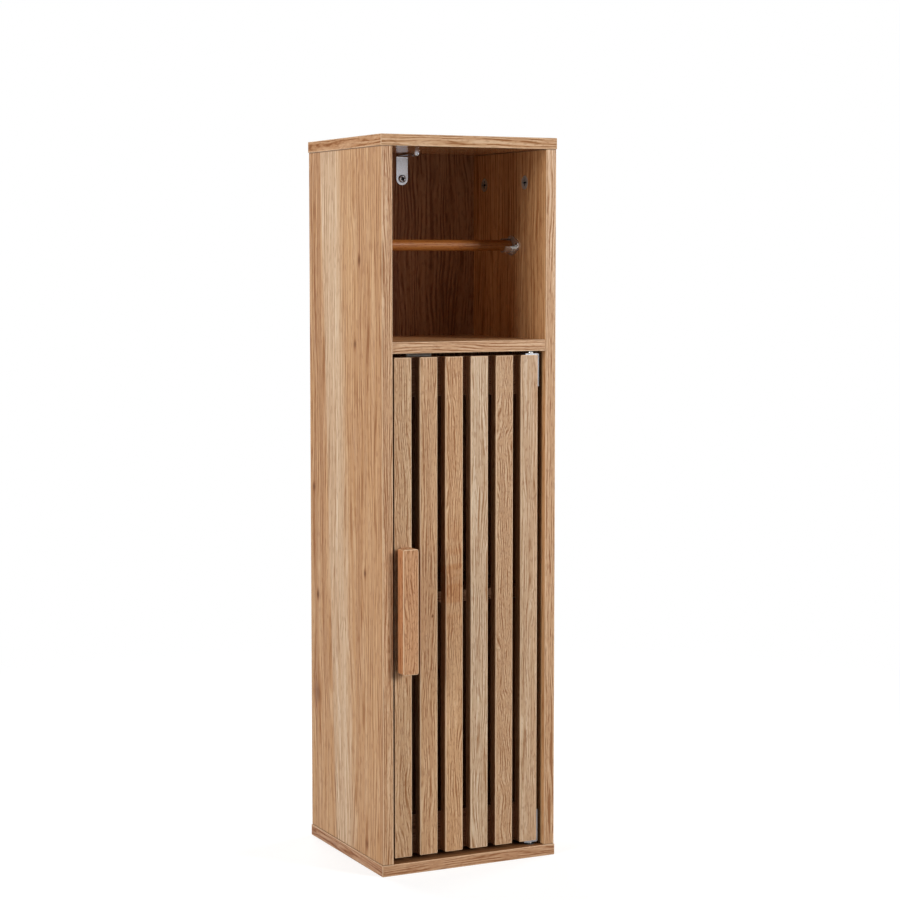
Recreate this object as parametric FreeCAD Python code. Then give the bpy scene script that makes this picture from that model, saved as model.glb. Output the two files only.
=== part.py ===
import FreeCAD, Part

import math
import os

# A narrow floor-standing bathroom cabinet. An open bay with a removable paper rod sits over a
# cupboard with a slatted door. Millimetres, +Z up, -Y to the front, origin in the middle of the
# bottom panel's underside.

# Carcass boards
WIDTH = 205.0  # over the two side panels
DEPTH = 195.0
HEIGHT = 780.0
BOARD = 12.0
CAP_OVERHANG = 1.0  # top and bottom panels, past each side panel
BAY_HEIGHT = 203.0  # clear height of the open bay
SHELF_SETBACK = 1.0  # fixed shelf's front edge, behind the other boards
BOARD_EASE = 0.6  # rounding along the board edges
BLIND_SKIN = 2.5  # board left past the end of a blind hole
FIT = 0.1  # clearance round each fastener
OVERRUN = 1.0  # how far a cutting shape passes the face that it opens

# Back panel, held in grooves
BACK_BOARD = 3.0
BACK_INSET = 19.5  # from the rear edges of the boards to the panel
GROOVE_DEPTH = 5.0
GROOVE_PLAY = 0.2

# Inner shelf and its pins
INNER_SHELF_HEIGHT = 270.0  # from the cupboard's floor to the shelf's underside
INNER_SHELF_SETBACK = 37.5
INNER_SHELF_PLAY = 0.5
PIN_SHANK_RADIUS = 2.5
PIN_PEG_RADIUS = 3.5
PIN_PEG_LENGTH = 9.0
PIN_FLAT = 2.0  # from the pin's axis up to the flat that carries the shelf
PIN_INSET = 24.0  # from the shelf's front and rear edges

# Cam fittings and dowels in the board joints
CAM_RADIUS = 7.5
CAM_SETBACK = 34.0  # from the joint to the cam's axis
CAM_SPREAD = 96.0  # between front and rear cams in the side panels
SHELF_CAM_SPREAD = 76.0  # the same in the fixed shelf
CAM_CROSS_LENGTH = 8.0
CAM_CROSS_WIDTH = 1.8
CAM_CROSS_DEPTH = 2.2
BOLT_RADIUS = 2.9
BOLT_THREAD_RADIUS = 2.5
BOLT_NECK_RADIUS = 1.7
BOLT_NECK = 3.0
BOLT_HEAD = 3.0
DOWEL_RADIUS = 3.0
DOWEL_DEPTH = 20.0  # into the edge of a board
DOWEL_SPREAD = 32.0
DOWEL_CHAMFER = 0.8

# Wood screws
SCREW_RADIUS = 1.6
SCREW_HEAD_RADIUS = 3.2
SCREW_HEAD = 1.9
SCREW_POINT = 2.4
SCREW_CROSS_LENGTH = 3.4
SCREW_CROSS_WIDTH = 0.8
SCREW_CROSS_DEPTH = 0.9
PAN_HEAD_RADIUS = 3.8
PAN_HEAD = 2.2
PAN_CROWN_SHARE = 0.55  # flat top of a pan head, of its radius

# Wall bracket under the top panel
BRACKET_WIDTH = 14.0
BRACKET_PLATE = 2.0
BRACKET_DROP = 34.5
BRACKET_REACH = 44.0
BRACKET_BEND = 2.0  # inside radius
WALL_HOLE_RADIUS = 2.5

# Paper rod and its sockets
ROD_RADIUS = 6.0
ROD_HEIGHT = 101.0  # axis above the fixed shelf
ROD_FORWARD = 20.0  # axis in front of the cabinet's middle
ROD_CHAMFER = 1.0
ROD_END_PLAY = 0.4
ROD_PLAY = 0.3
ROD_EXIT_ANGLE = 45.0  # of the slot, up from straight forward
SOCKET_FLANGE = 2.6
SOCKET_HALF_HEIGHT = 11.0
SOCKET_TIP_RADIUS = 4.6
SOCKET_TIP_OFFSET = 13.4  # from the rod's axis to each tip's screw
SOCKET_WALL = 1.6
SOCKET_CUP = 10.0
SOCKET_EASE = 0.5

# Slatted door
DOOR_RECESS = 7.0  # slat faces behind the boards' front edges
DOOR_HANDLE_GAP = 4.5
DOOR_HINGE_GAP = 5.8
DOOR_END_GAP = 4.5
SLAT_COUNT = 6
SLAT_GAP = 9.6
SLAT_THICKNESS = 12.0
SLAT_EASE = 0.8
BATTEN_HEIGHT = 42.0
BATTEN_THICKNESS = 12.0
BATTEN_INSET = 3.0  # from the door's side edges
BATTEN_EASE = 0.6
SLAT_SCREW_EDGE = 8.0  # from a batten's edge nearest the door's middle
SLAT_SCREW_PITCH = 16.0
SLAT_SCREW_BITE = 8.0

# Handle bar on the first slat
HANDLE_LENGTH = 133.0
HANDLE_WIDTH = 18.0
HANDLE_HEAD = 13.6
HANDLE_STEM = 6.2  # finger space under the head
HANDLE_GROOVE = 6.0  # depth of the finger groove
HANDLE_CORNER = 2.4
HANDLE_EASE = 1.0
HANDLE_SCREW_SPREAD = 96.0
HANDLE_SCREW_BITE = 13.0

# Pivot hinges at the door's right-hand corners
HINGE_INSET = 5.7  # pivot axis in from the door's edge
HINGE_PLATE = 1.5
HINGE_WIDTH = 11.0
HINGE_LEG = 34.0
HINGE_TOE = 9.0  # plate past the pivot axis
HINGE_BEND = 1.2
HINGE_SCREW_FIRST = 10.0  # from the door's corner
HINGE_SCREW_PITCH = 16.0
HINGE_SCREW_LENGTH = 11.0
PIVOT_RADIUS = 2.5
PIVOT_DEPTH = 8.0  # into the bush
PIVOT_CHAMFER = 0.5
PIVOT_RUNNING_FIT = 0.08
PIVOT_TENON_RADIUS = 1.8
PIVOT_RIVET_RADIUS = 3.0
PIVOT_RIVET = 1.0
PIVOT_COLLAR_RADIUS = 3.2
PIVOT_COLLAR_PLAY = 0.25
BUSH_RADIUS = 4.2
BUSH_FLANGE_RADIUS = 5.4
BUSH_FLANGE = 1.0

# Magnetic catch and its strike
CATCH_INSET = 45.5  # from the left side panel to the catch's middle
CATCH_LENGTH = 30.0
CATCH_DEPTH = 14.0
CATCH_WALL = 1.6
CATCH_GAP = 0.4
CATCH_EASE = 0.8
CATCH_SCREW_SPREAD = 21.0
CATCH_SCREW_BITE = 8.0
MAGNET_LENGTH = 12.0
MAGNET_HEIGHT = 7.0
MAGNET_SETBACK = 1.0
POLE_PLATE = 1.3
STRIKE_PLATE = 1.2
STRIKE_LENGTH = 24.0
STRIKE_HEIGHT = 12.0
STRIKE_DROP = 0.5  # from the door's top edge
STRIKE_CORNER = 2.0
STRIKE_SCREW_SPREAD = 14.0
STRIKE_SCREW_LENGTH = 11.0

FULL_TURN = 360.0

# Planes that several pieces share
side_outer = WIDTH / 2
side_inner = side_outer - BOARD
side_middle = side_outer - BOARD / 2
front = -DEPTH / 2
rear = DEPTH / 2
back_rear = rear - BACK_INSET
back_face = back_rear - BACK_BOARD
floor_top = BOARD
top_under = HEIGHT - BOARD
shelf_top = top_under - BAY_HEIGHT
shelf_under = shelf_top - BOARD
shelf_middle = shelf_top - BOARD / 2
shelf_front = front + SHELF_SETBACK
shelf_rear = back_face - GROOVE_PLAY
blind_depth = BOARD - BLIND_SKIN
inner_shelf_under = floor_top + INNER_SHELF_HEIGHT
inner_shelf_front = front + INNER_SHELF_SETBACK
door_left = DOOR_HANDLE_GAP - side_inner
door_right = side_inner - DOOR_HINGE_GAP
door_bottom = floor_top + DOOR_END_GAP
door_top = shelf_under - DOOR_END_GAP
door_middle = (door_bottom + door_top) / 2
slat_front = front + DOOR_RECESS
slat_back = slat_front + SLAT_THICKNESS
slat_middle = slat_front + SLAT_THICKNESS / 2
batten_back = slat_back + BATTEN_THICKNESS
slat_width = (door_right - door_left - SLAT_GAP * (SLAT_COUNT - 1)) / SLAT_COUNT
slat_pitch = slat_width + SLAT_GAP
slat_centres = [door_left + slat_width / 2 + slat_pitch * index for index in range(SLAT_COUNT)]
strike_face = batten_back + STRIKE_PLATE
catch_front = strike_face + CATCH_GAP
catch_middle = CATCH_INSET - side_inner
strike_middle = door_top - STRIKE_DROP - STRIKE_HEIGHT / 2


def point(x, y, z):
    return FreeCAD.Vector(x, y, z)


ORIGIN = point(0, 0, 0)
RIGHT = point(1, 0, 0)
BACKWARD = point(0, 1, 0)
FORWARD = point(0, -1, 0)
UP = point(0, 0, 1)
DOWN = point(0, 0, -1)


def block(low, high):
    """A box between its lowest and its highest corner."""
    size = high - low
    return Part.makeBox(size.x, size.y, size.z, low)


def eased_block(low, high, radius):
    """A box with every edge rounded."""
    body = block(low, high)
    return body.makeFillet(radius, body.Edges)


def turned(outline):
    """A solid of revolution about +Z, from a closed outline of (radius, height) points."""
    points = [point(radius, 0, height) for radius, height in outline]
    face = Part.Face(Part.makePolygon(points + points[:1]))
    return face.revolve(ORIGIN, UP, FULL_TURN)


def aimed(shape, base, direction):
    """A shape that was made along +Z, turned to a direction and set at its base."""
    placed = shape.copy()
    placed.Placement = FreeCAD.Placement(base, FreeCAD.Rotation(UP, direction))
    return placed


def flipped(shape):
    """A shape's twin across the middle of the door's height."""
    return shape.mirror(point(0, 0, door_middle), UP)


def other_side(shape):
    """A shape's twin across the cabinet's middle plane."""
    return shape.mirror(ORIGIN, RIGHT)


def cross(length, width, depth):
    """The cross-shaped recess of a driver, sunk from height zero along +Z."""
    low = point(-length / 2, -width / 2, -OVERRUN)
    high = point(length / 2, width / 2, depth)
    bar = block(low, high)
    second = bar.copy()
    second.rotate(ORIGIN, UP, FULL_TURN / 4)
    return bar.fuse(second)


def edges_at(shape, middle):
    """The shape's edges whose middle lies at a point."""
    return [edge for edge in shape.Edges if edge.BoundBox.Center.distanceToPoint(middle) < FIT]


def drilled(board, holes):
    """A board with those holes cut that reach it."""
    reach = board.BoundBox
    near = [hole for hole in holes if hole.BoundBox.intersect(reach)]
    return board.cut(near) if near else board


def save(name, solids):
    Part.makeCompound(solids).exportStep("parts/" + name + ".step")


# Screws run along +Z from the surface that their heads lie on


def sunk_screw(base, direction, length):
    """A countersunk wood screw."""
    outline = [
        (0, 0),
        (SCREW_HEAD_RADIUS, 0),
        (SCREW_RADIUS, SCREW_HEAD),
        (SCREW_RADIUS, length - SCREW_POINT),
        (0, length),
    ]
    recess = cross(SCREW_CROSS_LENGTH, SCREW_CROSS_WIDTH, SCREW_CROSS_DEPTH)
    return aimed(turned(outline).cut(recess), base, direction)


def sunk_hole(base, direction, length):
    """The hole that a countersunk screw fills."""
    outline = [
        (0, -FIT),
        (SCREW_HEAD_RADIUS + FIT, -FIT),
        (SCREW_HEAD_RADIUS + FIT, 0),
        (SCREW_RADIUS + FIT, SCREW_HEAD),
        (SCREW_RADIUS + FIT, length - SCREW_POINT),
        (FIT, length + FIT),
        (0, length + FIT),
    ]
    return aimed(turned(outline), base, direction)


def pan_screw(base, direction, length):
    """A wood screw whose head stands on the surface."""
    outline = [
        (0, -PAN_HEAD),
        (PAN_HEAD_RADIUS * PAN_CROWN_SHARE, -PAN_HEAD),
        (PAN_HEAD_RADIUS, -PAN_HEAD / 2),
        (PAN_HEAD_RADIUS, 0),
        (SCREW_RADIUS, 0),
        (SCREW_RADIUS, length - SCREW_POINT),
        (0, length),
    ]
    recess = cross(SCREW_CROSS_LENGTH, SCREW_CROSS_WIDTH, SCREW_CROSS_DEPTH)
    recess.translate(DOWN * PAN_HEAD)
    return aimed(turned(outline).cut(recess), base, direction)


def straight_hole(base, direction, length, radius):
    return Part.makeCylinder(radius + FIT, length + FIT, base, direction)


# Cam fittings: each joint has the bolt's base on the joint's plane and its direction into the
# board that holds the cam, then the middle of the cam's face and the direction into that board


def cam_joints():
    joints = []
    for side in (-1, 1):
        for height, along in ((top_under, DOWN), (floor_top, UP)):
            for row in (-CAM_SPREAD / 2, CAM_SPREAD / 2):
                base = point(side * side_middle, row, height)
                cam = point(side * side_inner, row, height + along.z * CAM_SETBACK)
                joints.append((base, along, cam, RIGHT * side))
        for row in (-SHELF_CAM_SPREAD / 2, SHELF_CAM_SPREAD / 2):
            base = point(side * side_inner, row, shelf_middle)
            cam = point(side * (side_inner - CAM_SETBACK), row, shelf_under)
            joints.append((base, RIGHT * -side, cam, UP))
    return joints


def cam_bolt(base, along):
    """A bolt that threads into one board and hooks into the cam in the other."""
    neck_start = CAM_SETBACK - BOLT_HEAD / 2 - BOLT_NECK
    outline = [
        (0, FIT - blind_depth),
        (BOLT_THREAD_RADIUS, FIT - blind_depth),
        (BOLT_THREAD_RADIUS, 0),
        (BOLT_RADIUS, 0),
        (BOLT_RADIUS, neck_start),
        (BOLT_NECK_RADIUS, neck_start),
        (BOLT_NECK_RADIUS, neck_start + BOLT_NECK),
        (BOLT_RADIUS, neck_start + BOLT_NECK),
        (BOLT_RADIUS, neck_start + BOLT_NECK + BOLT_HEAD),
        (0, neck_start + BOLT_NECK + BOLT_HEAD),
    ]
    return aimed(turned(outline), base, along)


def cam_bolt_hole(base, along):
    end = CAM_SETBACK + BOLT_HEAD / 2 + FIT
    outline = [
        (0, -blind_depth),
        (BOLT_THREAD_RADIUS + FIT, -blind_depth),
        (BOLT_THREAD_RADIUS + FIT, 0),
        (BOLT_RADIUS + FIT, 0),
        (BOLT_RADIUS + FIT, end),
        (0, end),
    ]
    return aimed(turned(outline), base, along)


def cam_lock(base, along, face, inward):
    """A round cam with a cross recess, bored from its rim for the bolt's head."""
    body = aimed(Part.makeCylinder(CAM_RADIUS, blind_depth - FIT), face, inward)
    recess = aimed(cross(CAM_CROSS_LENGTH, CAM_CROSS_WIDTH, CAM_CROSS_DEPTH), face, inward)
    return body.cut([recess, cam_bolt_hole(base, along)])


def cam_pocket(face, inward):
    pocket = Part.makeCylinder(CAM_RADIUS + FIT, blind_depth + OVERRUN)
    return aimed(pocket, face - inward * OVERRUN, inward)


def dowel_joints():
    """Each dowel's middle on its joint's plane, and its direction into a board's edge."""
    joints = []
    for side in (-1, 1):
        for height, along in ((top_under, DOWN), (floor_top, UP)):
            for row in (-DOWEL_SPREAD / 2, DOWEL_SPREAD / 2):
                joints.append((point(side * side_middle, row, height), along))
        joints.append((point(side * side_inner, 0, shelf_middle), RIGHT * -side))
    return joints


def dowel(base, along, play):
    """A dowel with chamfered ends, or its hole where play is given."""
    radius = DOWEL_RADIUS + play
    start = FIT - blind_depth - play
    end = DOWEL_DEPTH + play
    outline = [
        (0, start),
        (radius - DOWEL_CHAMFER, start),
        (radius, start + DOWEL_CHAMFER),
        (radius, end - DOWEL_CHAMFER),
        (radius - DOWEL_CHAMFER, end),
        (0, end),
    ]
    return aimed(turned(outline), base, along)


def board_fittings():
    """The fittings of every board joint, and the holes that they need."""
    locks = [cam_lock(*joint) for joint in cam_joints()]
    bolts = [cam_bolt(base, along) for base, along, face, inward in cam_joints()]
    dowels = [dowel(base, along, 0) for base, along in dowel_joints()]
    holes = [cam_bolt_hole(base, along) for base, along, face, inward in cam_joints()]
    holes += [cam_pocket(face, inward) for base, along, face, inward in cam_joints()]
    holes += [dowel(base, along, FIT) for base, along in dowel_joints()]
    save("cam_locks", locks)
    save("cam_bolts", bolts)
    save("wood_dowels", dowels)
    return holes


# Inner shelf


def shelf_pin(base, inward):
    """A peg with its shank in a side panel and a flat top under the shelf."""
    shank = Part.makeCylinder(PIN_SHANK_RADIUS, blind_depth - FIT, base, inward)
    peg = Part.makeCylinder(PIN_PEG_RADIUS, PIN_PEG_LENGTH, base, inward * -1)
    waste_low = base - point(PIN_PEG_LENGTH + OVERRUN, PIN_PEG_RADIUS + OVERRUN, -PIN_FLAT)
    waste_high = base + point(
        PIN_PEG_LENGTH + OVERRUN, PIN_PEG_RADIUS + OVERRUN, PIN_PEG_RADIUS + OVERRUN
    )
    peg = peg.cut(block(waste_low, waste_high))
    return shank.fuse(peg).removeSplitter()


def inner_shelf():
    """The loose shelf and its four pins, with the holes for the pins."""
    half_width = side_inner - INNER_SHELF_PLAY
    low = point(-half_width, inner_shelf_front, inner_shelf_under)
    high = point(half_width, shelf_rear, inner_shelf_under + BOARD)
    save("inner_shelf", [eased_block(low, high, BOARD_EASE)])

    pins = []
    holes = []
    for side in (-1, 1):
        for row in (inner_shelf_front + PIN_INSET, shelf_rear - PIN_INSET):
            base = point(side * side_inner, row, inner_shelf_under - PIN_FLAT)
            pins.append(shelf_pin(base, RIGHT * side))
            holes.append(straight_hole(base, RIGHT * side, blind_depth - FIT, PIN_SHANK_RADIUS))
    save("shelf_pins", pins)
    return holes


# Wall bracket


def round_end_waste():
    """What a round end takes off a flat leg that points along +Y, with its plate square to Z."""
    half = BRACKET_WIDTH / 2
    deep = BRACKET_PLATE + OVERRUN
    low = point(-half - OVERRUN, 0, -deep)
    high = point(half + OVERRUN, half + OVERRUN, deep)
    return block(low, high).cut(Part.makeCylinder(half, deep * 2, DOWN * deep, UP))


def wall_bracket():
    """The L bracket against the back panel and the top panel, and its upper screw."""
    half = BRACKET_WIDTH / 2
    inner_face = back_face - BRACKET_PLATE
    under_face = top_under - BRACKET_PLATE
    drop_end = top_under - BRACKET_DROP
    reach_end = back_face - BRACKET_REACH
    outline = [
        point(-half, back_face, drop_end),
        point(-half, back_face, top_under),
        point(-half, reach_end, top_under),
        point(-half, reach_end, under_face),
        point(-half, inner_face, under_face),
        point(-half, inner_face, drop_end),
    ]
    profile = Part.Face(Part.makePolygon(outline + outline[:1]))
    plate = profile.extrude(RIGHT * BRACKET_WIDTH)
    plate = plate.makeFillet(BRACKET_BEND, edges_at(plate, point(0, inner_face, under_face)))

    wall_hole_at = point(0, back_face, drop_end + half)
    drop_waste = round_end_waste()
    drop_waste.rotate(ORIGIN, RIGHT, -FULL_TURN / 4)
    drop_waste.translate(wall_hole_at)
    screw_at = point(0, reach_end + half, under_face)
    reach_waste = round_end_waste()
    reach_waste.rotate(ORIGIN, UP, FULL_TURN / 2)
    reach_waste.translate(screw_at)

    through = BRACKET_PLATE + BACK_BOARD + OVERRUN * 2
    wall_hole_start = point(0, inner_face - OVERRUN, wall_hole_at.z)
    wall_hole = Part.makeCylinder(WALL_HOLE_RADIUS, through, wall_hole_start, BACKWARD)
    screw_length = BRACKET_PLATE + blind_depth - FIT
    screw_hole = straight_hole(screw_at, UP, screw_length, SCREW_RADIUS)
    save("wall_bracket", [plate.cut([drop_waste, reach_waste, wall_hole, screw_hole])])
    save("bracket_screw", [pan_screw(screw_at, UP, screw_length)])
    return [wall_hole, screw_hole]


# Paper rod and its sockets


def eye_outline():
    """The flange's outline square to X: a middle circle and two tips, joined by tangents."""
    lean = math.acos((SOCKET_HALF_HEIGHT - SOCKET_TIP_RADIUS) / SOCKET_TIP_OFFSET)
    wide = SOCKET_HALF_HEIGHT * math.cos(lean)
    tall = SOCKET_HALF_HEIGHT * math.sin(lean)
    tip_wide = SOCKET_TIP_OFFSET + SOCKET_TIP_RADIUS * math.cos(lean)
    tip_tall = SOCKET_TIP_RADIUS * math.sin(lean)
    tip_end = SOCKET_TIP_OFFSET + SOCKET_TIP_RADIUS
    upper = Part.Arc(
        point(0, -wide, tall), point(0, 0, SOCKET_HALF_HEIGHT), point(0, wide, tall)
    )
    rear_tip = Part.Arc(
        point(0, tip_wide, tip_tall), point(0, tip_end, 0), point(0, tip_wide, -tip_tall)
    )
    lower = Part.Arc(
        point(0, wide, -tall), point(0, 0, -SOCKET_HALF_HEIGHT), point(0, -wide, -tall)
    )
    front_tip = Part.Arc(
        point(0, -tip_wide, -tip_tall), point(0, -tip_end, 0), point(0, -tip_wide, tip_tall)
    )
    return Part.Wire([
        upper.toShape(),
        Part.makeLine(point(0, wide, tall), point(0, tip_wide, tip_tall)),
        rear_tip.toShape(),
        Part.makeLine(point(0, tip_wide, -tip_tall), point(0, wide, -tall)),
        lower.toShape(),
        Part.makeLine(point(0, -wide, -tall), point(0, -tip_wide, -tip_tall)),
        front_tip.toShape(),
        Part.makeLine(point(0, -tip_wide, tip_tall), point(0, -wide, tall)),
    ])


def rod_socket():
    """The right-hand socket: an eye-shaped flange with a cup that is open towards the front."""
    axis = point(side_inner, -ROD_FORWARD, shelf_top + ROD_HEIGHT)
    flange = Part.Face(eye_outline()).extrude(RIGHT * -SOCKET_FLANGE)
    rim = [edge for edge in flange.Edges if edge.BoundBox.XMax < FIT - SOCKET_FLANGE]
    flange = flange.makeFillet(SOCKET_EASE, rim)

    bore_radius = ROD_RADIUS + ROD_PLAY
    cup_radius = bore_radius + SOCKET_WALL
    cup_start = RIGHT * -SOCKET_FLANGE
    cup = Part.makeCylinder(cup_radius, SOCKET_CUP, cup_start, RIGHT * -1)
    bore = Part.makeCylinder(bore_radius, SOCKET_CUP + OVERRUN, cup_start, RIGHT * -1)
    slot_low = point(-SOCKET_FLANGE - SOCKET_CUP - OVERRUN, 0, -bore_radius)
    slot_high = point(-SOCKET_FLANGE, cup_radius + OVERRUN, bore_radius)
    slot = block(slot_low, slot_high)
    slot.rotate(ORIGIN, RIGHT, FULL_TURN / 2 - ROD_EXIT_ANGLE)
    socket = flange.fuse(cup.cut([bore, slot])).removeSplitter()
    socket.translate(axis)
    return socket


def paper_rod():
    """The rod, both sockets and their screws, with the screws' holes."""
    height = shelf_top + ROD_HEIGHT
    length = SOCKET_FLANGE + blind_depth - FIT
    screws = []
    holes = []
    for side in (-1, 1):
        for offset in (-SOCKET_TIP_OFFSET, SOCKET_TIP_OFFSET):
            base = point(side * (side_inner - SOCKET_FLANGE), offset - ROD_FORWARD, height)
            screws.append(sunk_screw(base, RIGHT * side, length))
            holes.append(sunk_hole(base, RIGHT * side, length))
    right_socket = rod_socket()
    save("right_rod_socket", [drilled(right_socket, holes)])
    save("left_rod_socket", [drilled(other_side(right_socket), holes)])
    save("socket_screws", screws)

    half = side_inner - SOCKET_FLANGE - ROD_END_PLAY
    outline = [
        (0, -half),
        (ROD_RADIUS - ROD_CHAMFER, -half),
        (ROD_RADIUS, ROD_CHAMFER - half),
        (ROD_RADIUS, half - ROD_CHAMFER),
        (ROD_RADIUS - ROD_CHAMFER, half),
        (0, half),
    ]
    save("roll_rod", [aimed(turned(outline), point(0, -ROD_FORWARD, height), RIGHT)])
    return holes


# Magnetic catch under the fixed shelf, and its strike on the door


def magnetic_catch():
    """The housing with its magnet, pole plates and screws, with the screws' holes."""
    half = CATCH_LENGTH / 2
    stack_half = MAGNET_HEIGHT / 2 + POLE_PLATE + FIT
    catch_bottom = strike_middle - stack_half - CATCH_WALL
    low = point(catch_middle - half, catch_front, catch_bottom)
    high = point(catch_middle + half, catch_front + CATCH_DEPTH, shelf_under)
    pocket_half = MAGNET_LENGTH / 2 + FIT
    pocket_back = catch_front + CATCH_DEPTH - CATCH_WALL
    pocket_low = point(catch_middle - pocket_half, catch_front - OVERRUN, strike_middle - stack_half)
    pocket_high = point(catch_middle + pocket_half, pocket_back, strike_middle + stack_half)

    length = shelf_under - catch_bottom + CATCH_SCREW_BITE
    screws = []
    holes = []
    for offset in (-CATCH_SCREW_SPREAD / 2, CATCH_SCREW_SPREAD / 2):
        base = point(catch_middle + offset, catch_front + CATCH_DEPTH / 2, catch_bottom)
        screws.append(sunk_screw(base, UP, length))
        holes.append(sunk_hole(base, UP, length))
    housing = eased_block(low, high, CATCH_EASE).cut(block(pocket_low, pocket_high))
    save("catch_housing", [drilled(housing, holes)])
    save("catch_screws", screws)

    magnet_half = MAGNET_LENGTH / 2
    plate_end = stack_half - FIT
    plates = []
    for side in (-1, 1):
        heights = sorted((side * plate_end, side * (plate_end - POLE_PLATE)))
        plate_low = point(catch_middle - magnet_half, catch_front, strike_middle + heights[0])
        plate_high = point(catch_middle + magnet_half, pocket_back - FIT, strike_middle + heights[1])
        plates.append(block(plate_low, plate_high))
    save("catch_pole_plates", plates)
    magnet_end = MAGNET_HEIGHT / 2
    magnet_low = point(catch_middle - magnet_half, catch_front + MAGNET_SETBACK, strike_middle - magnet_end)
    magnet_high = point(catch_middle + magnet_half, pocket_back - FIT, strike_middle + magnet_end)
    save("catch_magnet", [block(magnet_low, magnet_high)])
    return holes


def strike():
    """The steel plate that the magnet holds, with its screws and their holes."""
    half = STRIKE_LENGTH / 2
    low = point(catch_middle - half, batten_back, strike_middle - STRIKE_HEIGHT / 2)
    high = point(catch_middle + half, strike_face, strike_middle + STRIKE_HEIGHT / 2)
    plate = block(low, high)
    corners = [edge for edge in plate.Edges if edge.BoundBox.YLength > FIT]
    plate = plate.makeFillet(STRIKE_CORNER, corners)
    screws = []
    holes = []
    for offset in (-STRIKE_SCREW_SPREAD / 2, STRIKE_SCREW_SPREAD / 2):
        base = point(catch_middle + offset, strike_face, strike_middle)
        screws.append(sunk_screw(base, FORWARD, STRIKE_SCREW_LENGTH))
        holes.append(sunk_hole(base, FORWARD, STRIKE_SCREW_LENGTH))
    save("strike_plate", [drilled(plate, holes)])
    save("strike_screws", screws)
    return holes


# Pivot hinges: the upper one is made, and its twin is the lower one


def hinge_plate(holes):
    """The L plate on the last slat's upper corner."""
    pivot = door_right - HINGE_INSET
    half = HINGE_WIDTH / 2
    outer = door_right + HINGE_PLATE
    crest = door_top + HINGE_PLATE
    low = point(pivot - HINGE_TOE, slat_middle - half, door_top)
    across = block(low, point(outer, slat_middle + half, crest))
    leg_low = point(door_right, slat_middle - half, door_top - HINGE_LEG)
    leg = block(leg_low, point(outer, slat_middle + half, crest))
    plate = across.fuse(leg).removeSplitter()
    bend = edges_at(plate, point(outer, slat_middle, crest))
    return drilled(plate.makeFillet(HINGE_BEND, bend), holes)


def pivot_pin():
    """The pin that is riveted to the plate, with a collar that runs on the bush."""
    collar_top = DOOR_END_GAP - BUSH_FLANGE - PIVOT_COLLAR_PLAY
    tip = DOOR_END_GAP + PIVOT_DEPTH
    return turned([
        (0, -PIVOT_RIVET),
        (PIVOT_RIVET_RADIUS, -PIVOT_RIVET),
        (PIVOT_RIVET_RADIUS, 0),
        (PIVOT_TENON_RADIUS, 0),
        (PIVOT_TENON_RADIUS, HINGE_PLATE),
        (PIVOT_COLLAR_RADIUS, HINGE_PLATE),
        (PIVOT_COLLAR_RADIUS, collar_top),
        (PIVOT_RADIUS, collar_top),
        (PIVOT_RADIUS, tip - PIVOT_CHAMFER),
        (PIVOT_RADIUS - PIVOT_CHAMFER, tip),
        (0, tip),
    ])


def hinge_bush():
    """The flanged plastic bush that is pressed into a board."""
    bore = PIVOT_RADIUS + PIVOT_RUNNING_FIT
    depth = blind_depth - FIT
    return turned([
        (bore, -BUSH_FLANGE),
        (BUSH_FLANGE_RADIUS, -BUSH_FLANGE),
        (BUSH_FLANGE_RADIUS, 0),
        (BUSH_RADIUS, 0),
        (BUSH_RADIUS, depth),
        (bore, depth),
    ])


def pivot_hinges():
    """Both hinges and their screws: the holes in the boards, and those in the last slat."""
    slat_corner = point(door_right - HINGE_INSET, slat_middle, door_top)
    board_face = point(door_right - HINGE_INSET, slat_middle, shelf_under)
    tenon_hole = straight_hole(slat_corner, UP, HINGE_PLATE, PIVOT_TENON_RADIUS)
    rivet_hole = straight_hole(slat_corner, DOWN, PIVOT_RIVET, PIVOT_RIVET_RADIUS)
    bush_hole = straight_hole(board_face, UP, blind_depth - FIT, BUSH_RADIUS)
    screws = []
    screw_holes = []
    for index in range(2):
        height = door_top - HINGE_SCREW_FIRST - HINGE_SCREW_PITCH * index
        base = point(door_right + HINGE_PLATE, slat_middle, height)
        screws.append(sunk_screw(base, RIGHT * -1, HINGE_SCREW_LENGTH))
        screw_holes.append(sunk_hole(base, RIGHT * -1, HINGE_SCREW_LENGTH))

    plate = hinge_plate([tenon_hole] + screw_holes)
    pin = aimed(pivot_pin(), slat_corner, UP)
    bush = aimed(hinge_bush(), board_face, UP)
    for name, shape in (("hinge_plate", plate), ("pivot_pin", pin), ("hinge_bush", bush)):
        save("upper_" + name, [shape])
        save("lower_" + name, [flipped(shape)])
    save("hinge_plate_screws", screws + [flipped(screw) for screw in screws])
    slat_holes = [rivet_hole] + screw_holes
    slat_holes += [flipped(hole) for hole in slat_holes]
    return [bush_hole, flipped(bush_hole)], slat_holes


# Slatted door


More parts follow.
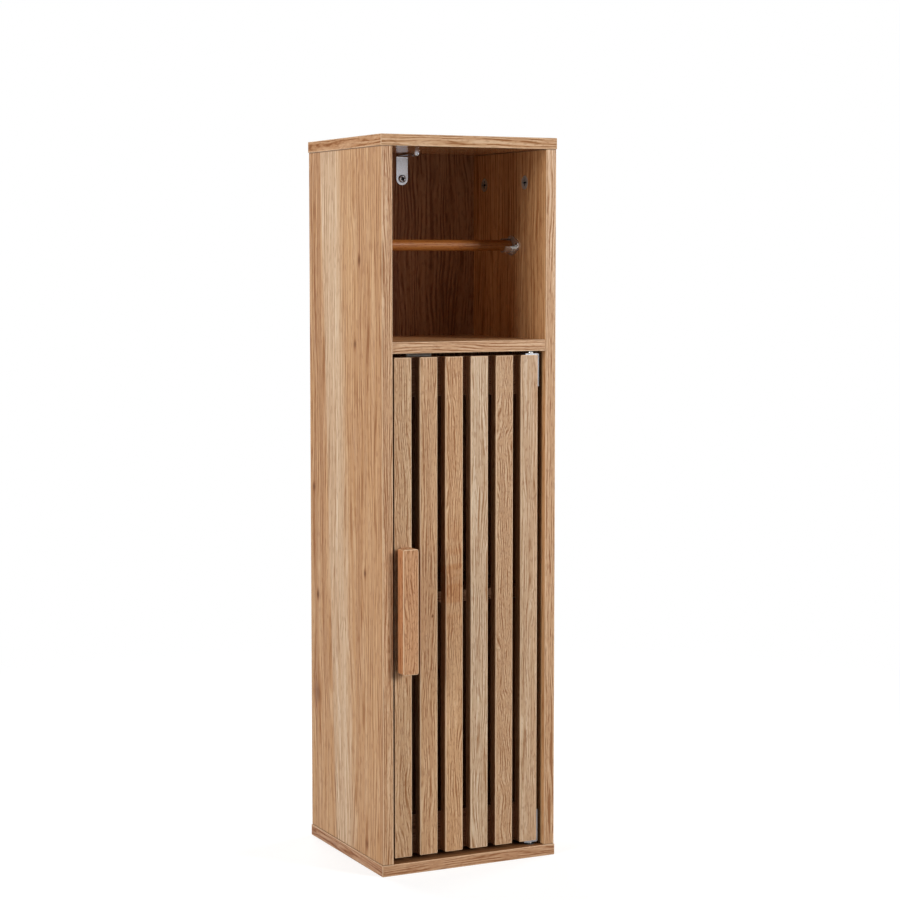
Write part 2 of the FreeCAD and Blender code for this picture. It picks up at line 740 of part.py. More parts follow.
def handle():
    """The handle bar with a finger groove along its left side, its screws and their holes."""
    middle = slat_centres[0]
    left = middle - HANDLE_WIDTH / 2
    right = middle + HANDLE_WIDTH / 2
    bottom = door_middle - HANDLE_LENGTH / 2
    top = door_middle + HANDLE_LENGTH / 2
    groove_front = slat_front - HANDLE_STEM
    face = groove_front - HANDLE_HEAD
    bar = block(point(left, face, bottom), point(right, slat_front, top))
    corners = [edge for edge in bar.Edges if edge.BoundBox.YLength > HANDLE_HEAD]
    bar = bar.makeFillet(HANDLE_CORNER, corners)
    rim = [edge for edge in bar.Edges if edge.BoundBox.YMax < face + FIT]
    bar = bar.makeFillet(HANDLE_EASE, rim)
    groove_low = point(left - OVERRUN, groove_front, bottom - OVERRUN)
    groove_high = point(left + HANDLE_GROOVE, slat_front + OVERRUN, top + OVERRUN)
    bar = bar.cut(block(groove_low, groove_high))

    stem_middle = (left + HANDLE_GROOVE + right) / 2
    length = SLAT_THICKNESS + HANDLE_SCREW_BITE
    screws = []
    holes = []
    for offset in (-HANDLE_SCREW_SPREAD / 2, HANDLE_SCREW_SPREAD / 2):
        base = point(stem_middle, slat_back, door_middle + offset)
        screws.append(pan_screw(base, FORWARD, length))
        holes.append(straight_hole(base, FORWARD, length, SCREW_RADIUS))
    save("door_handle", [drilled(bar, holes)])
    save("handle_screws", screws)
    return holes


def slat_fixings():
    """The screws through the battens into every slat, and their holes."""
    length = BATTEN_THICKNESS + SLAT_SCREW_BITE
    first = door_top - BATTEN_HEIGHT + SLAT_SCREW_EDGE
    screws = []
    holes = []
    for centre in slat_centres:
        for height in (first, first + SLAT_SCREW_PITCH):
            base = point(centre, batten_back, height)
            screw = sunk_screw(base, FORWARD, length)
            hole = sunk_hole(base, FORWARD, length)
            screws += [screw, flipped(screw)]
            holes += [hole, flipped(hole)]
    save("slat_screws", screws)
    return holes


def door(hinge_holes):
    """The slats, the battens behind them, and the holes of all that is fixed to them."""
    holes = hinge_holes + slat_fixings() + handle() + strike()
    for index, centre in enumerate(slat_centres):
        low = point(centre - slat_width / 2, slat_front, door_bottom)
        high = point(centre + slat_width / 2, slat_back, door_top)
        slat = drilled(eased_block(low, high, SLAT_EASE), holes)
        save("slat_" + str(index + 1), [slat])
    low = point(door_left + BATTEN_INSET, slat_back, door_top - BATTEN_HEIGHT)
    high = point(door_right - BATTEN_INSET, batten_back, door_top)
    batten = eased_block(low, high, BATTEN_EASE)
    save("top_batten", [drilled(batten, holes)])
    save("bottom_batten", [drilled(flipped(batten), holes)])


# Carcass


def boards(holes):
    """The six boards, with their grooves and every fitting's hole."""
    groove_half = side_inner + GROOVE_DEPTH
    groove = block(
        point(-groove_half, back_face - GROOVE_PLAY, floor_top - GROOVE_DEPTH),
        point(groove_half, back_rear + GROOVE_PLAY, top_under + GROOVE_DEPTH),
    )
    cap_half = side_outer + CAP_OVERHANG
    top = eased_block(point(-cap_half, front, top_under), point(cap_half, rear, HEIGHT), BOARD_EASE)
    bottom = eased_block(point(-cap_half, front, 0), point(cap_half, rear, floor_top), BOARD_EASE)
    side_low = point(side_inner, front, floor_top)
    side = eased_block(side_low, point(side_outer, rear, top_under), BOARD_EASE)
    save("top_panel", [drilled(top, holes + [groove])])
    save("bottom_panel", [drilled(bottom, holes + [groove])])
    save("right_side_panel", [drilled(side, holes + [groove])])
    save("left_side_panel", [drilled(other_side(side), holes + [groove])])

    shelf_low = point(-side_inner, shelf_front, shelf_under)
    shelf = eased_block(shelf_low, point(side_inner, shelf_rear, shelf_top), BOARD_EASE)
    save("fixed_shelf", [drilled(shelf, holes)])

    back_half = groove_half - GROOVE_PLAY
    back = block(
        point(-back_half, back_face, floor_top - GROOVE_DEPTH + GROOVE_PLAY),
        point(back_half, back_rear, top_under + GROOVE_DEPTH - GROOVE_PLAY),
    )
    save("back_panel", [drilled(back, holes)])


os.makedirs("parts", exist_ok=True)
bush_holes, slat_holes = pivot_hinges()
door(slat_holes)
fitting_holes = board_fittings() + inner_shelf() + wall_bracket() + paper_rod() + magnetic_catch()
boards(fitting_holes + bush_holes)
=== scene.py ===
import bmesh
import bpy
import math
from mathutils import Matrix, Vector
from types import SimpleNamespace


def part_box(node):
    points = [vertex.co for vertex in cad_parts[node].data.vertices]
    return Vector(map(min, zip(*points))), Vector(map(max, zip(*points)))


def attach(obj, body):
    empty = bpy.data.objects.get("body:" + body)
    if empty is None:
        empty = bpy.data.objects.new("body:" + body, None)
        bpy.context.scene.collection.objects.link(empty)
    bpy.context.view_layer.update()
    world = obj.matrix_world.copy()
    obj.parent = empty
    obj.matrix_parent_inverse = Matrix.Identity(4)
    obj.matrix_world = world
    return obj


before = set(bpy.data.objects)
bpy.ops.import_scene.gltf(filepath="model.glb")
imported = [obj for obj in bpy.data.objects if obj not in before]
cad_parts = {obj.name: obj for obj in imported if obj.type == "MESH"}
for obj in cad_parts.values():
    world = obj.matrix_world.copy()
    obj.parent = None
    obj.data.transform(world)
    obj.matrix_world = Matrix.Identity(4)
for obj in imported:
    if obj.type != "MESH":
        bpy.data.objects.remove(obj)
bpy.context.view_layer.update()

# Side panels
# Upright particle boards, faced with a printed oak foil and edged with a thin band of the same.
# They stand between the top and the bottom panel, drawn tight by cams and lined up by dowels.


def paint(red, green, blue):
    """A colour as it shows on a screen, from 0 to 255, as the shader's own light values."""
    shares = [value / 255 for value in (red, green, blue)]
    lit = [s / 12.92 if s < 0.04045 else ((s + 0.055) / 1.055) ** 2.4 for s in shares]
    return (*lit, 1.0)


def plug(tree, socket, value):
    """Links a socket to another one, or sets its value."""
    if isinstance(value, bpy.types.NodeSocket):
        tree.links.new(value, socket)
    else:
        socket.default_value = value


def work_out(tree, operation, *values):
    made = tree.nodes.new("ShaderNodeMath")
    made.operation = operation
    for socket, value in zip(made.inputs, values):
        plug(tree, socket, value)
    return made.outputs[0]


def work_out_vector(tree, operation, *values):
    made = tree.nodes.new("ShaderNodeVectorMath")
    made.operation = operation
    for socket, value in zip(made.inputs, values):
        plug(tree, socket, value)
    return made.outputs[0]


def work_out_dot(tree, first, second):
    """How far one vector reaches along another, times that one's length."""
    made = tree.nodes.new("ShaderNodeVectorMath")
    made.operation = "DOT_PRODUCT"
    plug(tree, made.inputs[0], first)
    plug(tree, made.inputs[1], second)
    return made.outputs["Value"]


def eased(tree, value, start, end):
    """A value that goes smoothly from 0 at start to 1 at end."""
    made = tree.nodes.new("ShaderNodeMapRange")
    made.interpolation_type = "SMOOTHSTEP"
    for label, given in (("Value", value), ("From Min", start), ("From Max", end)):
        plug(tree, made.inputs[label], given)
    return made.outputs["Result"]


def mixed(tree, factor, first, second, blend="MIX"):
    """Two colours, mixed."""
    made = tree.nodes.new("ShaderNodeMix")
    made.data_type = "RGBA"
    made.blend_type = blend
    for socket, given in zip((made.inputs[0], made.inputs[6], made.inputs[7]), (factor, first, second)):
        plug(tree, socket, given)
    return made.outputs[2]


def chosen(tree, factor, first, second):
    """One of two places, or a place between them."""
    made = tree.nodes.new("ShaderNodeMix")
    made.data_type = "VECTOR"
    for socket, given in zip((made.inputs[0], made.inputs[4], made.inputs[5]), (factor, first, second)):
        plug(tree, socket, given)
    return made.outputs[1]


def split(tree, vector):
    made = tree.nodes.new("ShaderNodeSeparateXYZ")
    plug(tree, made.inputs[0], vector)
    return made.outputs


def joined(tree, *values):
    made = tree.nodes.new("ShaderNodeCombineXYZ")
    for socket, value in zip(made.inputs, values):
        plug(tree, socket, value)
    return made.outputs[0]


def cloud(tree, place, cycles, detail=2.0, roughness=0.5):
    """Cloudy noise around 0.5, with its cycles per metre along each axis."""
    made = tree.nodes.new("ShaderNodeTexNoise")
    made.inputs["Scale"].default_value = 1.0
    made.inputs["Detail"].default_value = detail
    made.inputs["Roughness"].default_value = roughness
    plug(tree, made.inputs["Vector"], work_out_vector(tree, "MULTIPLY", place, cycles))
    return made.outputs["Fac"]


def swing(tree, value, amount):
    """A cloud's swing to either side of zero, times an amount."""
    return work_out(tree, "MULTIPLY", work_out(tree, "SUBTRACT", value, 0.5), amount)


def start_group(name, inputs, outputs):
    """A shader node group: its tree, what comes in and what goes out."""
    tree = bpy.data.node_groups.new(name, "ShaderNodeTree")
    for side, sockets in (("INPUT", inputs), ("OUTPUT", outputs)):
        for label, kind in sockets.items():
            tree.interface.new_socket(label, in_out=side, socket_type="NodeSocket" + kind)
    return tree, tree.nodes.new("NodeGroupInput").outputs, tree.nodes.new("NodeGroupOutput").inputs


def put_group(tree, group, **values):
    made = tree.nodes.new("ShaderNodeGroup")
    made.node_tree = group
    for label, value in values.items():
        plug(tree, made.inputs[label], value)
    return made.outputs


def start_finish(name):
    """A finish: its material, that one's node tree, its shader's sockets and the place on the cabinet."""
    material = bpy.data.materials.new(name)
    material.use_nodes = True
    tree = material.node_tree
    place = tree.nodes.new("ShaderNodeTexCoord").outputs["Object"]
    return SimpleNamespace(
        material=material, tree=tree, shader=tree.nodes["Principled BSDF"].inputs, place=place,
    )


def press(finish, height, depth, strength):
    """Presses a height into the surface as fine relief."""
    bump = finish.tree.nodes.new("ShaderNodeBump")
    bump.inputs["Strength"].default_value = strength
    bump.inputs["Distance"].default_value = depth
    plug(finish.tree, bump.inputs["Height"], height)
    plug(finish.tree, finish.shader["Normal"], bump.outputs["Normal"])


def dress(finish, *names):
    """Gives CAD nodes a finish."""
    for name in names:
        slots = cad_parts[name].data.materials
        slots.clear()
        slots.append(finish.material)


# Cycles per metre across, through and along the grain
BEND_CYCLES = (7, 7, 1.9)
RIPPLE_CYCLES = (24, 24, 9)
BAND_CYCLES = (15, 15, 1.1)
STREAK_CYCLES = (110, 110, 8)
DRIFT_CYCLES = (75, 75, 6)
FADE_CYCLES = (120, 120, 50)
FIBRE_CYCLES = (700, 700, 120)
PORE_CYCLES = (420, 420, 130)

# How far the grain bends, in metres, and how its lines run and drift
BEND_REACH = 0.034
RIPPLE_REACH = 0.018
LINES_PER_METRE = 230
LINE_WAY = (1.0, 0.8, 0.0)
LINE_DRIFT = 26.0
SEED_STEP = (1.7, 0.9, 2.3)

# Where lines fade and pores open, which tones are dark and pale, and how both change the surface
FADE_RANGE = (0.3, 0.65)
PORE_RANGE = (0.55, 0.66)
MIDDLE_TONE = 0.5
DARK_RANGE = (-0.05, 0.55)
PALE_RANGE = (0.45, 1.05)
FIBRE_SHARE = 0.6
PORE_SHARES = (0.8, 0.56, 0.4, 1.0)
MIDDLE_ROUGHNESS = 0.5
LINE_GLOSS = 0.25
PORE_DULLNESS = 0.2
PORE_SINK = 2.0


def make_oak_figure():
    """Oak grain in its own space: across, through and along the grain, in metres."""
    tree, given, result = start_group(
        "oak_figure",
        {
            "Place": "Vector", "Seed": "Float", "Deep": "Color", "Warm": "Color", "Pale": "Color",
            "Waver": "Float", "Bands": "Float", "Streaks": "Float", "Lines": "Float", "Pores": "Float",
        },
        {"Colour": "Color", "Roughness": "Float", "Height": "Float"},
    )
    apart = work_out_vector(tree, "MULTIPLY", joined(tree, *[given["Seed"]] * 3), SEED_STEP)
    place = work_out_vector(tree, "ADD", given["Place"], apart)
    slow = swing(tree, cloud(tree, place, BEND_CYCLES, detail=1), BEND_REACH)
    quick = swing(tree, cloud(tree, place, RIPPLE_CYCLES), RIPPLE_REACH)
    bend = work_out(tree, "MULTIPLY", work_out(tree, "ADD", slow, quick), given["Waver"])
    place = work_out_vector(tree, "ADD", place, joined(tree, bend, bend, 0.0))

    bands = cloud(tree, place, BAND_CYCLES, detail=1.5)
    streaks = cloud(tree, place, STREAK_CYCLES)
    drift = swing(tree, cloud(tree, place, DRIFT_CYCLES, detail=1), LINE_DRIFT)
    across = work_out_dot(tree, place, LINE_WAY)
    phase = work_out(tree, "MULTIPLY_ADD", across, LINES_PER_METRE * math.tau, drift)
    lines = work_out(tree, "MULTIPLY_ADD", work_out(tree, "SINE", phase), 0.5, 0.5)
    fade = eased(tree, cloud(tree, place, FADE_CYCLES, detail=1), *FADE_RANGE)
    fibres = cloud(tree, place, FIBRE_CYCLES)
    pores = eased(tree, cloud(tree, place, PORE_CYCLES, detail=1), *PORE_RANGE)
    pores = work_out(tree, "MULTIPLY", pores, given["Pores"])

    line_depth = work_out(tree, "MULTIPLY", fade, given["Lines"])
    fibre_depth = work_out(tree, "MULTIPLY", given["Lines"], FIBRE_SHARE)
    parts = (
        (bands, given["Bands"]), (streaks, given["Streaks"]), (lines, line_depth), (fibres, fibre_depth),
    )
    tone = MIDDLE_TONE
    for part, amount in parts:
        tone = work_out(tree, "ADD", tone, swing(tree, part, amount))
    dark_half = mixed(tree, eased(tree, tone, *DARK_RANGE), given["Deep"], given["Warm"])
    colour = mixed(tree, eased(tree, tone, *PALE_RANGE), dark_half, given["Pale"])
    pore_colour = mixed(tree, 1.0, given["Deep"], PORE_SHARES, "MULTIPLY")
    plug(tree, result["Colour"], mixed(tree, pores, colour, pore_colour))
    shine = work_out(tree, "SUBTRACT", MIDDLE_ROUGHNESS, swing(tree, lines, LINE_GLOSS))
    plug(tree, result["Roughness"], work_out(tree, "MULTIPLY_ADD", pores, PORE_DULLNESS, shine))
    raised = work_out(tree, "ADD", lines, fibres)
    plug(tree, result["Height"], work_out(tree, "MULTIPLY_ADD", pores, -PORE_SINK, raised))
    return tree


def fading(tree, value, steepness):
    """1 where a value is zero, and less the larger it is."""
    return work_out(tree, "EXPONENT", work_out(tree, "MULTIPLY", value, -steepness))


KNOT_LENGTH = 1.7
KNOT_HEART = 2.6


def make_oak_knot():
    """A knot: the grain parts round it, and its heart is dark."""
    tree, given, result = start_group(
        "oak_knot",
        {"Place": "Vector", "Centre": "Vector", "Size": "Float", "Dark": "Float"},
        {"Place": "Vector", "Near": "Float", "Heart": "Float"},
    )
    away = work_out_vector(tree, "SUBTRACT", given["Place"], given["Centre"])
    reach = work_out(tree, "MULTIPLY", given["Size"], KNOT_LENGTH)
    far = work_out_vector(tree, "DIVIDE", away, joined(tree, given["Size"], given["Size"], reach))
    near = fading(tree, work_out_dot(tree, far, far), 1.0)
    sides = work_out_vector(tree, "MULTIPLY", away, (1.0, 1.0, 0.0))
    pull = work_out_vector(tree, "MULTIPLY", sides, joined(tree, *[near] * 3))
    plug(tree, result["Place"], work_out_vector(tree, "SUBTRACT", given["Place"], pull))
    plug(tree, result["Near"], near)
    heart = fading(tree, work_out_dot(tree, far, far), KNOT_HEART)
    plug(tree, result["Heart"], work_out(tree, "MULTIPLY", heart, given["Dark"]))
    return tree


def make_board_edges():
    """How deep a place lies inside a board's box, and a mask of the board's edges."""
    tree, given, result = start_group(
        "board_edges",
        {"Place": "Vector", "Low": "Vector", "High": "Vector", "Width": "Float"},
        {"Edge": "Float", "Inside": "Vector"},
    )
    from_low = work_out_vector(tree, "SUBTRACT", given["Place"], given["Low"])
    from_high = work_out_vector(tree, "SUBTRACT", given["High"], given["Place"])
    inside = work_out_vector(tree, "MINIMUM", from_low, from_high)
    x, y, z = split(tree, inside)
    nearest = work_out(tree, "MINIMUM", x, y)
    other = work_out(tree, "MINIMUM", work_out(tree, "MAXIMUM", x, y), z)
    second = work_out(tree, "MAXIMUM", nearest, other)
    plug(tree, result["Edge"], eased(tree, second, given["Width"], 0.0))
    plug(tree, result["Inside"], inside)
    return tree


BAND_REACH = (0.0006, 0.0004)
JOINT_REACH = 0.0016


def make_board_bands():
    """Masks of a board's bands, of those at its two ends, and of the joints there."""
    tree, given, result = start_group(
        "board_bands",
        {"Across": "Float", "Along": "Float"},
        {"Band": "Float", "End": "Float", "Joint": "Float"},
    )
    nearest = work_out(tree, "MINIMUM", given["Across"], given["Along"])
    plug(tree, result["Band"], eased(tree, nearest, *BAND_REACH))
    plug(tree, result["End"], eased(tree, given["Along"], *BAND_REACH))
    plug(tree, result["Joint"], eased(tree, given["Along"], JOINT_REACH, 0.0))
    return tree


def make_stain_and_shade():
    """A colour that is taken down or up where a mask is 1: for the wood's own marks and for painted shade.
    """
    tree, given, result = start_group(
        "stain_and_shade",
        {"Colour": "Color", "Mask": "Float", "Shares": "Color"},
        {"Colour": "Color"},
    )
    stained = mixed(tree, 1.0, given["Colour"], given["Shares"], "MULTIPLY")
    plug(tree, result["Colour"], mixed(tree, given["Mask"], given["Colour"], stained))
    return tree


oak_figure = make_oak_figure()
oak_knot = make_oak_knot()
board_edges = make_board_edges()
board_bands = make_board_bands()
stain_and_shade = make_stain_and_shade()


def shaded(colour, shares):
    """A colour with its red, green and blue each taken down or up."""
    return (*[min(value * share, 1.0) for value, share in zip(colour, shares)], 1.0)


def tinted(tree, mask, colour, shares):
    """A colour, taken down or up where a mask is 1, for the wood's own marks and for painted shade."""
    return put_group(tree, stain_and_shade, Colour=colour, Mask=mask, Shares=shares)["Colour"]


def paint_shade(finish, mask, shares):
    """Takes the colour of a finish down or up where a mask is 1, to paint shade."""
    colour = finish.shader["Base Color"].links[0].from_socket
    plug(finish.tree, finish.shader["Base Color"], tinted(finish.tree, mask, colour, shares))


GRAIN_ORDER = {"X": (1, 2, 0), "Y": (0, 2, 1), "Z": (0, 1, 2)}


def grain_space(tree, place, along):
    """A place on the cabinet as across, through and along the grain."""
    axes = split(tree, place)
    return joined(tree, *[axes[index] for index in GRAIN_ORDER[along]])


DEEP_SHARES = (0.56, 0.42, 0.29)
PALE_SHARES = (1.24, 1.42, 1.62)
KNOT_SHARES = (0.8, 0.66, 0.5, 1.0)
HEART_SHARES = (0.36, 0.26, 0.08)
BAND_SEED = 5.0
BAND_FINENESS = 1.5
BAND_LINES = 0.7
BAND_SHARES = (1.03, 1.1, 1.3, 1.0)
END_SHARES = (0.92, 0.88, 0.92, 1.0)
EDGE_WIDTH = 0.0013
# The colour of the painted highlight on the boards' eased edges
EDGE_HIGHLIGHT_COLOUR = (238, 208, 172)
WOOD_SHEEN = 0.3
GRAIN_DEPTH = 0.0002
GRAIN_RELIEF = 0.25


def oak_board(node, along, seed, tint, thin=None, ends=None, knots=(), marks=(), fineness=1.0, length=1.0,
              lean=0.0, waver=1.0, bands=1.0, streaks=1.0, lines=1.0, pores=0.3, edge=0.6):
    """An oak finish for one CAD node, with the depth inside its box and the masks of its bands. A banded
    board gives its thin axis, and the axis that the grain of its end bands follows. A knot has a centre, a
    size and a darkness, and a mark a mask over the grain, its own values and the shares of colour there."""
    finish = start_finish("oak_" + node)
    tree = finish.tree
    warm = paint(*tint)
    deep = shaded(warm, DEEP_SHARES)
    low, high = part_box(node)
    rim = put_group(tree, board_edges, Place=finish.place, Low=low, High=high, Width=EDGE_WIDTH)
    finish.inside = rim["Inside"]
    grain = grain_space(tree, finish.place, along)
    banded = at_end = 0.0
    if thin:
        across = next(axis for axis in "XYZ" if axis not in (thin, along))
        inside = split(tree, finish.inside)
        finish.bands = put_group(tree, board_bands, Across=inside[across], Along=inside[along])
        banded = finish.bands["Band"]
        seed = work_out(tree, "MULTIPLY_ADD", banded, BAND_SEED, seed)
        if ends:
            at_end = finish.bands["End"]
            grain = chosen(tree, at_end, grain, grain_space(tree, finish.place, ends))
    if lean:
        turn = tree.nodes.new("ShaderNodeMapping")
        turn.inputs["Rotation"].default_value = (0.0, math.radians(lean), 0.0)
        plug(tree, turn.inputs["Vector"], grain)
        grain = turn.outputs["Vector"]
    round_knot = heart = 0.0
    for centre, size, dark in knots:
        knot = put_group(tree, oak_knot, Place=grain, Centre=centre, Size=size, Dark=dark)
        grain = knot["Place"]
        round_knot = work_out(tree, "MAXIMUM", round_knot, knot["Near"])
        heart = work_out(tree, "MAXIMUM", heart, knot["Heart"])
    scale = work_out(tree, "MULTIPLY_ADD", banded, BAND_FINENESS - fineness, fineness)
    scales = joined(tree, scale, scale, work_out(tree, "DIVIDE", scale, length))
    figure = put_group(
        tree, oak_figure, Place=work_out_vector(tree, "MULTIPLY", grain, scales), Seed=seed,
        Deep=deep, Warm=warm, Pale=shaded(warm, PALE_SHARES),
        Waver=waver, Bands=bands, Streaks=streaks, Pores=pores,
        Lines=work_out(tree, "MULTIPLY_ADD", banded, BAND_LINES * lines, lines),
    )
    colour = figure["Colour"]
    for mask, values, shares in marks:
        colour = tinted(tree, mask(tree, grain, *values), colour, shares)
    colour = tinted(tree, round_knot, colour, KNOT_SHARES)
    colour = mixed(tree, heart, colour, shaded(deep, HEART_SHARES))
    if thin:
        colour = tinted(tree, banded, colour, mixed(tree, at_end, BAND_SHARES, END_SHARES))
    # The edge value sets how strongly the eased edges are painted lighter, as a painted highlight
    painted_highlight = work_out(tree, "MULTIPLY", rim["Edge"], edge)
    plug(tree, finish.shader["Base Color"], mixed(tree, painted_highlight, colour, paint(*EDGE_HIGHLIGHT_COLOUR)))
    plug(tree, finish.shader["Roughness"], figure["Roughness"])
    finish.shader["Specular IOR Level"].default_value = WOOD_SHEEN
    press(finish, figure["Height"], GRAIN_DEPTH, GRAIN_RELIEF)
    dress(finish, node)
    return finish


STRIPE_LEAN = 0.05
STRIPE_BORDER = 0.004
STRIPE_SHARES = (1.16, 1.42, 1.9, 1.0)


def pale_stripe(tree, grain, border, end):
    """A strip along the grain, with a sharp border on one side and a slow fade to the other."""
    axes = split(tree, grain)
    across = work_out(tree, "MULTIPLY_ADD", axes[2], -STRIPE_LEAN, axes[1])
    sharp = eased(tree, across, border + STRIPE_BORDER, border)
    return work_out(tree, "MULTIPLY", sharp, eased(tree, across, end, (border + end) / 2))


BOARD_TINT = (194, 146, 100)
JOINT_SHARES = (0.3, 0.22, 0.16, 1.0)


def side_panel(node, seed, face, knots, marks=()):
    """A side panel: its knots by depth, height, size and darkness, and the shade in its two end joints."""
    panel = oak_board(
        node, along="Z", seed=seed, tint=BOARD_TINT, thin="X", marks=marks,
        knots=[(Vector((face, depth, height)), size, dark) for depth, height, size, dark in knots],
        fineness=0.85, length=1.4, waver=0.4, bands=0.9, streaks=0.9, lines=0.7,
    )
    paint_shade(panel, panel.bands["Joint"], JOINT_SHARES)


LEFT_KNOTS = (
    (-0.039, 0.65, 0.0044, 0.8), (-0.0277, 0.561, 0.004, 0.9), (0.0873, 0.398, 0.0042, 1.0),
    (-0.052, 0.318, 0.0036, 1.0), (0.0773, 0.278, 0.0048, 1.0), (0.0786, 0.167, 0.011, 0.55),
    (-0.0552, 0.026, 0.004, 0.6),
)
LEFT_STRIPE = (pale_stripe, (0.025, -0.035), STRIPE_SHARES)
RIGHT_KNOTS = ((-0.02, 0.52, 0.0044, 0.9), (0.05, 0.24, 0.01, 0.3))
left_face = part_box("left_side_panel")[0].x
right_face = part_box("right_side_panel")[1].x
side_panel("left_side_panel", 1.0, left_face, LEFT_KNOTS, [LEFT_STRIPE])
side_panel("right_side_panel", 2.4, right_face, RIGHT_KNOTS)

# Bottom and top panel
# The same board, laid flat under and over the sides and a little wider than they are.
# All four edges are banded, and the grain of each band runs along its edge.

FLAT_GRAIN = {"along": "X", "thin": "Z", "fineness": 0.9, "length": 1.3, "waver": 0.35, "lines": 0.7}
FACE_DEPTH = (0.0006, 0.0002)

# The bottom panel is tinted a little darker than the top, and inside its rim its upper face is painted
# darker still, as painted shade on the cupboard's floor
BOTTOM_TINT = (184, 134, 90)
BOTTOM_SHADE_RIM = (0.0008, 0.0022)
BOTTOM_SHADE_SHARES = (0.42, 0.35, 0.29, 1.0)
bottom = oak_board("bottom_panel", seed=3.1, tint=BOTTOM_TINT, ends="Y", **FLAT_GRAIN)
bottom_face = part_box("bottom_panel")[1].z
bottom_height = split(bottom.tree, bottom.place)["Z"]
above = eased(bottom.tree, bottom_height, *[bottom_face - depth for depth in FACE_DEPTH])
bottom_inside = split(bottom.tree, bottom.inside)
from_rim = work_out(bottom.tree, "MINIMUM", bottom_inside["X"], bottom_inside["Y"])
within = eased(bottom.tree, from_rim, *BOTTOM_SHADE_RIM)
paint_shade(bottom, work_out(bottom.tree, "MULTIPLY", above, within), BOTTOM_SHADE_SHARES)

# The top panel is lacquered glossy below and dull above
GLOSS_SHARE = 0.35
DULL_SHARE = 1.6
top = oak_board("top_panel", seed=4.3, tint=BOARD_TINT, ends="Y", **FLAT_GRAIN)
top_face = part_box("top_panel")[0].z
top_height = split(top.tree, top.place)["Z"]
under = eased(top.tree, top_height, *[top_face + depth for depth in FACE_DEPTH])
polish = work_out(top.tree, "MULTIPLY_ADD", under, GLOSS_SHARE - DULL_SHARE, DULL_SHARE)
top_roughness = top.shader["Roughness"].links[0].from_socket
plug(top.tree, top.shader["Roughness"], work_out(top.tree, "MULTIPLY", top_roughness, polish))

# Fixed shelf
# A board between the sides that parts the open bay from the cupboard, held by cams from below.
# Only its front edge shows a band.

oak_board("fixed_shelf", seed=5.2, tint=BOARD_TINT, **FLAT_GRAIN)

# Back panel
# A thin fibreboard that slides in grooves in the other boards.
# Its front is printed oak, tinted darker than the other boards, and its rear is bare.

BACK_TINT = (156, 108, 72)
BARE_DEPTH = (0.0008, 0.0004)
FIBREBOARD_CYCLES = (420, 420, 420)
FIBREBOARD_COLOURS = ((128, 92, 62), (176, 138, 100))
back = oak_board(
    "back_panel", along="Z", seed=6.6, tint=BACK_TINT, waver=0.6, bands=1.8, streaks=2.4, lines=1.2,
    edge=0.0,
)
rear_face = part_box("back_panel")[1].y
back_depth = split(back.tree, back.place)["Y"]
at_rear = eased(back.tree, back_depth, *[rear_face - depth for depth in BARE_DEPTH])
bare_fibres = cloud(back.tree, back.place, FIBREBOARD_CYCLES, detail=4, roughness=0.65)
bare_board = mixed(back.tree, bare_fibres, *[paint(*colour) for colour in FIBREBOARD_COLOURS])
printed_oak = back.shader["Base Color"].links[0].from_socket
plug(back.tree, back.shader["Base Color"], mixed(back.tree, at_rear, printed_oak, bare_board))

# Inner shelf
# A loose board in the cupboard that lies on four pegs.
# It is banded all round.

# Its tint is darker than the other boards', as painted shade inside the cupboard
INNER_SHADE_TINT = (142, 92, 56)
oak_board("inner_shelf", seed=7.7, tint=INNER_SHADE_TINT, ends="Y", edge=0.2, **FLAT_GRAIN)

# Door slats
# Six narrow oak bars, each from its own stock, so that they differ in tint and figure.
# They are rounded along their edges and screwed to two battens from behind.

FLAME_CYCLES = (14, 14, 75)
FLAME_RANGE = (0.35, 0.62)
FLAME_SHARES = (0.86, 0.68, 0.5, 1.0)


def flame(tree, grain, middle, half):
    """A figure of ripples across the grain, round a height."""
    away = work_out(tree, "DIVIDE", work_out(tree, "SUBTRACT", split(tree, grain)["Z"], middle), half)
    near = fading(tree, work_out(tree, "MULTIPLY", away, away), 1.0)
    ripples = eased(tree, cloud(tree, grain, FLAME_CYCLES), *FLAME_RANGE)
    return work_out(tree, "MULTIPLY", near, ripples)


def make_painted_side_shade():
    """The mask of the painted shade on a bar's sides: how far in from its sides, and from its front and
    rear, the dark starts and is full."""
    tree, given, result = start_group(
        "painted_side_shade",
        {
            "Inside": "Vector", "SideStart": "Float", "SideFull": "Float", "FrontStart": "Float",
            "FrontFull": "Float",
        },
        {"Mask": "Float"},
    )
    inside = split(tree, given["Inside"])
    beside = eased(tree, inside["X"], given["SideStart"], given["SideFull"])
    between = eased(tree, inside["Y"], given["FrontStart"], given["FrontFull"])
    plug(tree, result["Mask"], work_out(tree, "MULTIPLY", beside, between))
    return tree


painted_side_shade = make_painted_side_shade()
SIDE_SHADE_REACH = {"SideStart": 0.0007, "SideFull": 0.0003, "FrontStart": 0.0006, "FrontFull": 0.002}
SIDE_SHADE_SHARES = (0.5, 0.42, 0.36, 1.0)


def paint_side_shade(bar, shares=SIDE_SHADE_SHARES, reach=SIDE_SHADE_REACH):
    """Darkens the sides of a bar with painted shade."""
    paint_shade(bar, put_group(bar.tree, painted_side_shade, Inside=bar.inside, **reach)["Mask"], shares)


